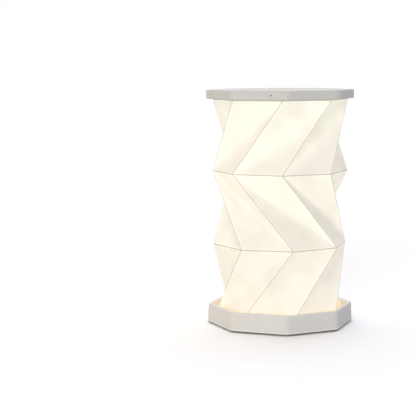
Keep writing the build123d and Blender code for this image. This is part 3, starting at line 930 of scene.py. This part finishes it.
def screw_shape(name, head, head_height, length):
    """Pan-head screw of a head radius, head down, with a cross recess and rolled threads."""
    shank = head * 0.5            # radius over the threads, and between them
    root = shank * 0.8
    pitch = shank * 0.55
    profile = [(0, 0), (head * 0.62, 0), (head * 0.9, head_height * 0.22), (head, head_height * 0.55)]
    profile += [(head, head_height), (shank, head_height)]
    height = head_height + pitch * 0.4
    while height + pitch < length - shank * 0.5:
        profile += [(root, height), (shank, height + pitch * 0.5)]
        height += pitch
    profile += [(root, height), (shank * 0.35, length - shank * 0.1), (0, length)]
    body = new_object(name + "_body", turned_shape(name + "_body", profile, 24))
    slot = (head * 1.15, head * 0.2, head_height * 0.9)
    cutters = []
    for turn in (0, math.pi / 2):
        cutter = new_object(name + "_cutter", box_shape(name + "_cutter", slot, (0, 0, 0), 0.02 * MM))
        cutter.data.transform(Matrix.Rotation(turn, 4, "Z"))
        cut = body.modifiers.new("recess", "BOOLEAN")
        cut.operation = "DIFFERENCE"
        cut.object = cutter
        cutters.append(cutter)
    shape = finished(body, name + "_shape")
    mesh = shape.data
    for helper in (shape, *cutters):
        bpy.data.objects.remove(helper)
    return mesh


class LAMP_OT_set_feet(bpy.types.Operator):
    """Set the eight rubber feet under the tray"""

    bl_idname = "lamp.set_feet"
    bl_label = "Set Feet"

    def execute(self, context):
        solids = separate_solids("rubber_feet")
        places = [(centre.x, centre.y, low.z) for centre, low, high in solids]
        size = solids[0][2] - solids[0][1]
        # Shares of the foot's radius and height: it is dished, and stands on a round lip.
        profile = [(0, 0.12), (0.72, 0.1), (0.8, 0), (0.93, 0), (1, 0.3), (1, 1), (0, 1)]
        profile = [(radius * size.x / 2, height * size.z) for radius, height in profile]
        feet = copied("dished_feet", turned_shape("dished_foot", profile, 40), places, foot_rubber())
        smooth_by_angle(feet.data, SMALL_EDGE)
        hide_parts("rubber_feet")
        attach(feet, "base")
        return {"FINISHED"}


class LAMP_OT_finish_inner_parts(bpy.types.Operator):
    """Finish the boards, batteries, magnets, plates and card rings"""

    bl_idname = "lamp.finish_inner_parts"
    bl_label = "Finish Inner Parts"

    def execute(self, context):
        dress(card(), "shade_bottom_frame", "shade_top_frame")
        dress(battery_foil(), "battery_left", "battery_right")
        dress(board_lacquer("control_board_lacquer", "1F6B43", "2F8A58", 0.35), "control_board")
        dress(chip_resin(), "board_chips")
        dress(moulded("connector_nylon", "2B2B2D", "3A3A3C", 0.5), "board_connector")
        dress(led_phosphor("unlit_phosphor", "000000", 0.0), "charge_led")
        dress(clear_plastic(), "light_pipe")
        magnets = plain_metal("magnet_nickel", "C9C8C4", "A5A4A0", 0.28, (1, 1, 1), 500.0)
        weight = plain_metal("rolled_steel", "A9ABAD", "7E8083", 0.42, (12, 1, 1), 160.0)
        socket = plain_metal("socket_steel", "BFC0C2", "97999C", 0.3, (1, 1, 8), 700.0)
        strips = plain_metal("strip_nickel", "C4C3BE", "9D9C98", 0.35, (1, 8, 1), 600.0)
        dress(magnets, "lid_magnets", "base_magnets")
        dress(weight, "weight_plate")
        dress(socket, "charging_socket")
        dress(strips, "battery_tabs")
        return {"FINISHED"}


class LAMP_OT_set_stage(bpy.types.Operator):
    """Lay the floor, hang the light and set up the camera"""

    bl_idname = "lamp.set_stage"
    bl_label = "Set Stage"

    def execute(self, context):
        look = context.scene.lamp_stage
        lay_floor(look)
        light_world(context.scene, look)
        hang_light("front_light", look.key_strength, look.key_azimuth, look.key_height, look.key_size)
        behind = (look.back_height, look.back_size, look.back_colour)
        hang_light("back_left_light", look.back_left, -look.back_azimuth, *behind)
        hang_light("back_right_light", look.back_right, look.back_azimuth, *behind)
        set_camera(context.scene, look)
        context.scene.view_settings.view_transform = "Standard"
        return {"FINISHED"}


def empty_graph(owner):
    """Graph of a material's or a world's node tree, emptied."""
    owner.use_nodes = True
    owner.node_tree.nodes.clear()
    return Graph(owner.node_tree)


def seen_plainly(graph):
    """1 where the camera, metal or glass sees a surface, and 0 where it only gives light."""
    path = graph.add("ShaderNodeLightPath").outputs
    seen = graph.math("MAXIMUM", path["Is Camera Ray"], path["Is Glossy Ray"])
    return graph.math("MAXIMUM", seen, path["Is Transmission Ray"])


def lay_floor(look):
    """Pale floor that looks white to the camera and keeps the lamp's shadow."""
    half = look.floor_size / 2
    mesh = bpy.data.meshes.new("floor")
    corners = [(-half, -half, 0), (half, -half, 0), (half, half, 0), (-half, half, 0)]
    mesh.from_pydata(corners, [], [(0, 1, 2, 3)])
    floor = new_object("floor", mesh)
    paper = bpy.data.materials.new("floor_paper")
    graph = empty_graph(paper)
    bounce = (look.floor_bounce,) * 3
    white = [look.floor_white * share for share in look.floor_balance]
    colour = graph.blend(seen_plainly(graph), bounce, white)
    diffuse = graph.add("ShaderNodeBsdfDiffuse", {"Color": colour})
    graph.add("ShaderNodeOutputMaterial", {0: diffuse.outputs[0]})
    mesh.materials.append(paper)


def light_world(scene, look):
    """Soft light, stronger from the left; the camera, metal and glass see plain white."""
    world = bpy.data.worlds.new("studio")
    scene.world = world
    graph = empty_graph(world)
    seen = seen_plainly(graph)
    strength = graph.line(seen, 1.0 - look.ambient, look.ambient)
    side = graph.part(graph.add("ShaderNodeTexCoord").outputs["Generated"], "X")
    tint = graph.mottle(side, look.left_tint, look.right_tint, -1.0, 1.0)
    colour = graph.blend(seen, tint, (1.0, 1.0, 1.0))
    back = graph.add("ShaderNodeBackground", {"Color": colour, "Strength": strength})
    graph.add("ShaderNodeOutputWorld", {0: back.outputs[0]})


def hang_light(name, strength, azimuth, height, size, colour=(1.0, 1.0, 1.0)):
    """Broad soft light; its azimuth is round from the front, to the right if positive."""
    lamp = bpy.data.lights.new(name, "SUN")
    lamp.energy = strength
    lamp.color = colour
    lamp.angle = size
    level = math.cos(height)
    towards = Vector((math.sin(azimuth) * level, -math.cos(azimuth) * level, math.sin(height)))
    new_object(name, lamp).rotation_euler = towards.to_track_quat("Z", "Y").to_euler()


def set_camera(scene, look):
    """Camera at the photograph's viewing angle."""
    data = bpy.data.cameras.new("camera")
    data.sensor_width = 36.0
    data.lens = look.lens
    data.clip_start = 10 * MM
    data.clip_end = 100.0
    camera = new_object("camera", data)
    camera.location = look.camera_place
    heading = Matrix.Rotation(look.camera_heading, 3, "Z")
    tilt = Matrix.Rotation(math.pi / 2 - look.camera_tilt, 3, "X")
    roll = Matrix.Rotation(look.camera_roll, 3, "Z")
    camera.rotation_euler = (heading @ tilt @ roll).to_euler()
    scene.camera = camera


class LAMP_PT_panel(bpy.types.Panel):
    """Buttons for each piece and the settings they read"""

    bl_label = "Paper Lamp"
    bl_idname = "LAMP_PT_panel"
    bl_space_type = "VIEW_3D"
    bl_region_type = "UI"
    bl_category = "Paper Lamp"

    def draw(self, context):
        for title, settings, operators in PANEL_ROWS:
            box = self.layout.box()
            box.label(text=title)
            group = getattr(context.scene, settings)
            for name in group.__annotations__:
                box.prop(group, name)
            for operator in operators:
                box.operator(operator.bl_idname)


PANEL_ROWS = (
    ("Shade and light", "lamp_shade", (
        LAMP_OT_fold_shade, LAMP_OT_finish_light, LAMP_OT_finish_inner_parts,
    )),
    ("Lid, tray and button", "lamp_finish", (
        LAMP_OT_finish_shells, LAMP_OT_finish_button, LAMP_OT_set_screws, LAMP_OT_set_feet,
    )),
    ("Stage", "lamp_stage", (LAMP_OT_set_stage,)),
)
OPERATORS = [operator for row in PANEL_ROWS for operator in row[2]]
SETTINGS = {
    "lamp_shade": LampShadeSettings,
    "lamp_finish": LampFinishSettings,
    "lamp_stage": LampStageSettings,
}


def register():
    for cls in [*SETTINGS.values(), *OPERATORS, LAMP_PT_panel]:
        bpy.utils.register_class(cls)
    for name, settings in SETTINGS.items():
        setattr(bpy.types.Scene, name, PointerProperty(type=settings))


def unregister():
    for name in SETTINGS:
        delattr(bpy.types.Scene, name)
    for cls in [LAMP_PT_panel, *reversed(OPERATORS), *reversed(SETTINGS.values())]:
        bpy.utils.unregister_class(cls)


def main():
    register()
    for operator in OPERATORS:
        group, name = operator.bl_idname.split(".")
        getattr(getattr(bpy.ops, group), name)()
    bpy.context.view_layer.update()


if __name__ == "__main__":
    main()
